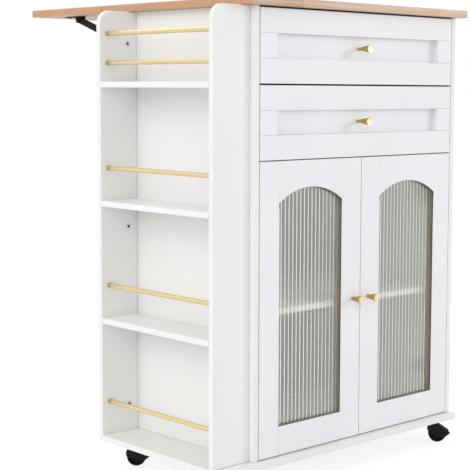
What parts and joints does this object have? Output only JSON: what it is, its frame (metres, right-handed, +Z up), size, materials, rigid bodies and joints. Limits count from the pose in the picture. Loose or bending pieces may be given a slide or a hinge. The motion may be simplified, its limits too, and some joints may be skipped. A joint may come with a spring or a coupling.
{
  "type": "drop leaf kitchen island",
  "caption": "White kitchen island on casters with drawers over reeded glass doors, an open spice rack on its left end and a wooden top with a fold-down rear leaf.",
  "frame": {"origin": "on the floor, under the middle of the whole island with its leaf up", "axes": "+Z up, -Y towards the drawers and doors, -X towards the spice rack, +Y towards the drop leaf"},
  "size_m": [0.6798, 0.7106, 0.9148],
  "materials": {
    "white_board": "white laminate, satin",
    "front_board": "white lacquer, satin",
    "worktop_wood": "oiled light wood, straight grain",
    "drawer_board": "white laminate, matt",
    "reeded_glass": "clear glass, fluted on its front",
    "brass": "brushed, lacquered",
    "black_steel": "black powder coat",
    "zinc": "zinc plated",
    "black_plastic": "moulded black plastic"
  },
  "bodies": {
    "root": {"base_board": "white_board", "left_side_panel": "white_board", "right_side_panel": "white_board", "back_panel": "white_board", "divider_board": "white_board", "inner_shelf": "white_board", "front_rack_panel": "white_board", "rear_rack_panel": "white_board", "lower_rack_shelf": "white_board", "middle_rack_shelf": "white_board", "upper_rack_shelf": "white_board", "bottom_bay_rail": "brass", "lower_shelf_rail": "brass", "middle_shelf_rail": "brass", "upper_shelf_low_rail": "brass", "upper_shelf_high_rail": "brass", "worktop": "worktop_wood", "leaf_hinge_fixed_wing": "zinc", "left_stay_guide": "black_steel", "right_stay_guide": "black_steel", "upper_left_runner": "zinc", "upper_right_runner": "zinc", "lower_left_runner": "zinc", "lower_right_runner": "zinc", "left_door_lower_hinge": "zinc", "left_door_upper_hinge": "zinc", "right_door_lower_hinge": "zinc", "right_door_upper_hinge": "zinc", "front_left_caster_plate": "zinc", "front_right_caster_plate": "zinc", "rear_left_caster_plate": "zinc", "rear_right_caster_plate": "zinc"},
    "leaf": {"drop_leaf": "worktop_wood", "leaf_hinge_moving_wing": "zinc", "left_stay_plate": "black_steel", "right_stay_plate": "black_steel"},
    "left_stay": {"left_stay_strut": "black_steel"},
    "right_stay": {"right_stay_strut": "black_steel"},
    "upper_drawer": {"upper_drawer_front": "front_board", "upper_drawer_box": "drawer_board", "upper_drawer_knob": "brass"},
    "lower_drawer": {"lower_drawer_front": "front_board", "lower_drawer_box": "drawer_board", "lower_drawer_knob": "brass"},
    "left_door": {"left_door_frame": "front_board", "left_door_glass": "reeded_glass", "left_door_knob": "brass"},
    "right_door": {"right_door_frame": "front_board", "right_door_glass": "reeded_glass", "right_door_knob": "brass"},
    "front_left_swivel": {"front_left_caster_fork": "black_steel"},
    "front_left_wheel": {"front_left_caster_wheel": "black_plastic"},
    "front_left_pedal": {"front_left_brake_pedal": "black_plastic"},
    "front_right_swivel": {"front_right_caster_fork": "black_steel"},
    "front_right_wheel": {"front_right_caster_wheel": "black_plastic"},
    "rear_left_swivel": {"rear_left_caster_fork": "black_steel"},
    "rear_left_wheel": {"rear_left_caster_wheel": "black_plastic"},
    "rear_left_pedal": {"rear_left_brake_pedal": "black_plastic"},
    "rear_right_swivel": {"rear_right_caster_fork": "black_steel"},
    "rear_right_wheel": {"rear_right_caster_wheel": "black_plastic"}
  },
  "joints": [
    {"name": "leaf_fold", "type": "hinge", "parent": "root", "child": "leaf", "pos_m": [0.035, 0.10465, 0.8966], "axis": [1, 0, 0], "range_deg": [-90, 0]},
    {"name": "left_stay_pivot", "type": "hinge", "parent": "leaf", "child": "left_stay", "pos_m": [-0.231, 0.23265, 0.8919], "axis": [1, 0, 0], "range_deg": [0, 144.6]},
    {"name": "right_stay_pivot", "type": "hinge", "parent": "leaf", "child": "right_stay", "pos_m": [0.301, 0.23265, 0.8919], "axis": [1, 0, 0], "range_deg": [0, 144.6]},
    {"name": "upper_drawer_slide", "type": "slide", "parent": "root", "child": "upper_drawer", "axis": [0, -1, 0], "range_m": [0, 0.22]},
    {"name": "lower_drawer_slide", "type": "slide", "parent": "root", "child": "lower_drawer", "axis": [0, -1, 0], "range_m": [0, 0.22]},
    {"name": "left_door_hinge", "type": "hinge", "parent": "root", "child": "left_door", "pos_m": [-0.237, -0.3301, 0.341], "axis": [0, 0, -1], "range_deg": [0, 105]},
    {"name": "right_door_hinge", "type": "hinge", "parent": "root", "child": "right_door", "pos_m": [0.307, -0.3301, 0.341], "axis": [0, 0, 1], "range_deg": [0, 105]},
    {"name": "front_left_caster_swivel", "type": "hinge", "parent": "root", "child": "front_left_swivel", "pos_m": [-0.3, -0.3081, 0.042], "axis": [0, 0, 1], "continuous": true},
    {"name": "front_left_wheel_roll", "type": "hinge", "parent": "front_left_swivel", "child": "front_left_wheel", "pos_m": [-0.28705, -0.3206, 0.019], "axis": [0.6947, 0.7193, 0], "continuous": true},
    {"name": "front_left_brake", "type": "hinge", "parent": "front_left_swivel", "child": "front_left_pedal", "pos_m": [-0.27065, -0.33644, 0.021], "axis": [0.6947, 0.7193, 0], "range_deg": [0, 22]},
    {"name": "front_right_caster_swivel", "type": "hinge", "parent": "root", "child": "front_right_swivel", "pos_m": [0.281, -0.3081, 0.042], "axis": [0, 0, 1], "continuous": true},
    {"name": "front_right_wheel_roll", "type": "hinge", "parent": "front_right_swivel", "child": "front_right_wheel", "pos_m": [0.29395, -0.3206, 0.019], "axis": [0.6947, 0.7193, 0], "continuous": true},
    {"name": "rear_left_caster_swivel", "type": "hinge", "parent": "root", "child": "rear_left_swivel", "pos_m": [-0.3, -0.0131, 0.042], "axis": [0, 0, 1], "continuous": true},
    {"name": "rear_left_wheel_roll", "type": "hinge", "parent": "rear_left_swivel", "child": "rear_left_wheel", "pos_m": [-0.28705, -0.0256, 0.019], "axis": [0.6947, 0.7193, 0], "continuous": true},
    {"name": "rear_left_brake", "type": "hinge", "parent": "rear_left_swivel", "child": "rear_left_pedal", "pos_m": [-0.27065, -0.04144, 0.021], "axis": [0.6947, 0.7193, 0], "range_deg": [0, 22]},
    {"name": "rear_right_caster_swivel", "type": "hinge", "parent": "root", "child": "rear_right_swivel", "pos_m": [0.281, -0.0131, 0.042], "axis": [0, 0, 1], "continuous": true},
    {"name": "rear_right_wheel_roll", "type": "hinge", "parent": "rear_right_swivel", "child": "rear_right_wheel", "pos_m": [0.29395, -0.0256, 0.019], "axis": [0.6947, 0.7193, 0], "continuous": true}
  ],
  "couplings": [
    {"joint": "left_stay_pivot", "follows": "leaf_fold", "ratio": -1.6058},
    {"joint": "right_stay_pivot", "follows": "leaf_fold", "ratio": -1.6058}
  ]
}
